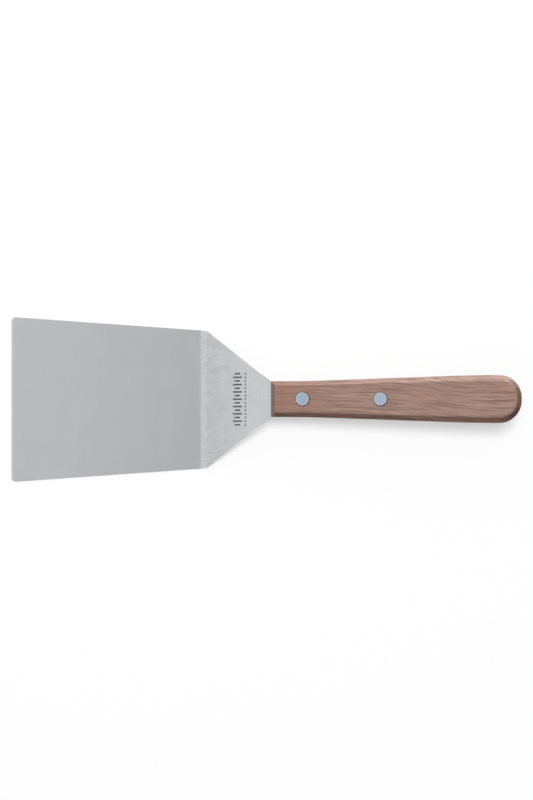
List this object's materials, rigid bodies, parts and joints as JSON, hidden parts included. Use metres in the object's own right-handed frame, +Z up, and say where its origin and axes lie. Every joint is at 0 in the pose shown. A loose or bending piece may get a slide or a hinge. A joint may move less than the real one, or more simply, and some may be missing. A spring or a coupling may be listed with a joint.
{
  "type": "offset turner spatula",
  "caption": "Wide offset turner: a thin cranked stainless blade on a half tang, riveted into a slotted wood handle, for lifting and turning food.",
  "frame": {"origin": "on the plane of the blade's underside, in the middle of the turner's length and width", "axes": "+X along the turner from the blade's front edge towards the handle's end, +Y across the blade, +Z up, square to the blade's flat"},
  "size_m": [0.3056, 0.0996, 0.0428],
  "materials": {
    "satin_steel": "fine satin, brushed across the blade",
    "handle_wood": "close-grained brown wood, smooth and lightly oiled",
    "rivet_aluminium": "sanded flush with the wood, satin"
  },
  "bodies": {
    "root": {"blade": "satin_steel", "handle": "handle_wood", "front_rivet_male": "rivet_aluminium", "front_rivet_female": "rivet_aluminium", "rear_rivet_male": "rivet_aluminium", "rear_rivet_female": "rivet_aluminium"}
  },
  "joints": []
}
